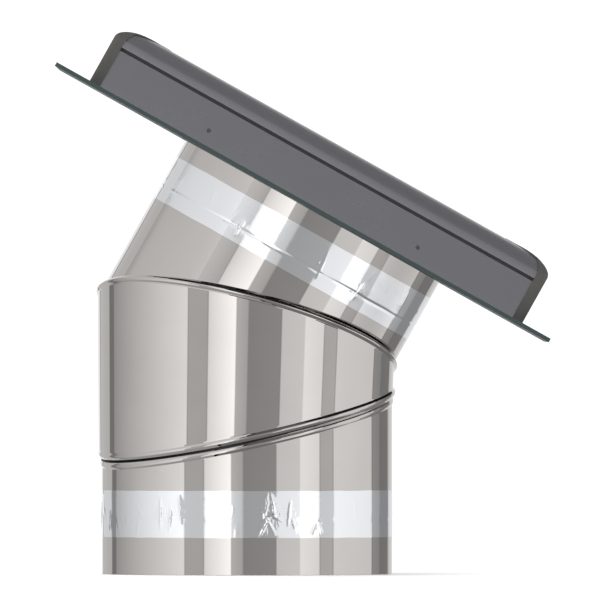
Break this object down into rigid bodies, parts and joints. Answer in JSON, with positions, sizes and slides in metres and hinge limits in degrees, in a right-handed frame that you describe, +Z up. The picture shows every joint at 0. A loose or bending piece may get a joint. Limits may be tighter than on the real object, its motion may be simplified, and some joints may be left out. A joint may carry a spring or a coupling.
{
  "type": "tubular skylight",
  "caption": "Flat-glass roof skylight over a mirrored light tube, with a swivel elbow that sets the roof's pitch.",
  "frame": {"origin": "centre of the lower tube's open bottom end", "axes": "+Z up along the lower tube, +X towards the downhill side of the roof flange, +Y away from the viewer"},
  "size_m": [0.6001, 0.685, 0.6606],
  "materials": {
    "moulded_flange": "moulded, matt",
    "rail_profile": "extruded, satin",
    "grey_cover": "powder coat, satin",
    "corner_cap": "moulded, satin",
    "corner_cleat": "moulded, matt",
    "clear_glass": "clear",
    "spacer": "mill",
    "sealant": "cured, matt",
    "gasket": "extruded, matt",
    "foam": "closed cell",
    "white_sheet": "white, satin",
    "mirror_sheet": "mirror",
    "foil": "bright foil, creased",
    "screw": "zinc plated"
  },
  "bodies": {
    "lower": {"lower_tube": "mirror_sheet", "lower_foil_tape": "foil", "elbow_lower_gore": "mirror_sheet"},
    "middle": {"elbow_middle_gore": "mirror_sheet"},
    "head": {"back_base_rail": "rail_profile", "back_side_cover": "grey_cover", "back_top_cover": "grey_cover", "cladding_screws": "screw", "collar_screws": "screw", "cover_gasket": "gasket", "edge_sealant": "sealant", "elbow_upper_gore": "mirror_sheet", "flange_screws": "screw", "front_base_rail": "rail_profile", "front_side_cover": "grey_cover", "front_top_cover": "grey_cover", "inner_pane": "clear_glass", "kerb_seal": "gasket", "lower_back_corner_cap": "corner_cap", "lower_back_corner_cleat": "corner_cleat", "lower_base_rail": "rail_profile", "lower_front_corner_cap": "corner_cap", "lower_front_corner_cleat": "corner_cleat", "lower_side_cover": "grey_cover", "lower_top_cover": "grey_cover", "outer_pane": "clear_glass", "reflector_plate": "white_sheet", "roof_flange": "moulded_flange", "seat_gasket": "gasket", "spacer_bar": "spacer", "top_tube": "mirror_sheet", "tube_seal": "foam", "upper_back_corner_cap": "corner_cap", "upper_back_corner_cleat": "corner_cleat", "upper_base_rail": "rail_profile", "upper_foil_tape": "foil", "upper_front_corner_cap": "corner_cap", "upper_front_corner_cleat": "corner_cleat", "upper_side_cover": "grey_cover", "upper_top_cover": "grey_cover"}
  },
  "joints": [
    {"name": "lower_swivel", "type": "hinge", "parent": "lower", "child": "middle", "pos_m": [0, 0, 0.18503], "axis": [-0.2081, -0.0973, 0.9733], "continuous": true},
    {"name": "upper_swivel", "type": "hinge", "parent": "middle", "child": "head", "pos_m": [0, 0, 0.29982], "axis": [0.2467, 0.2127, 0.9455], "continuous": true}
  ]
}
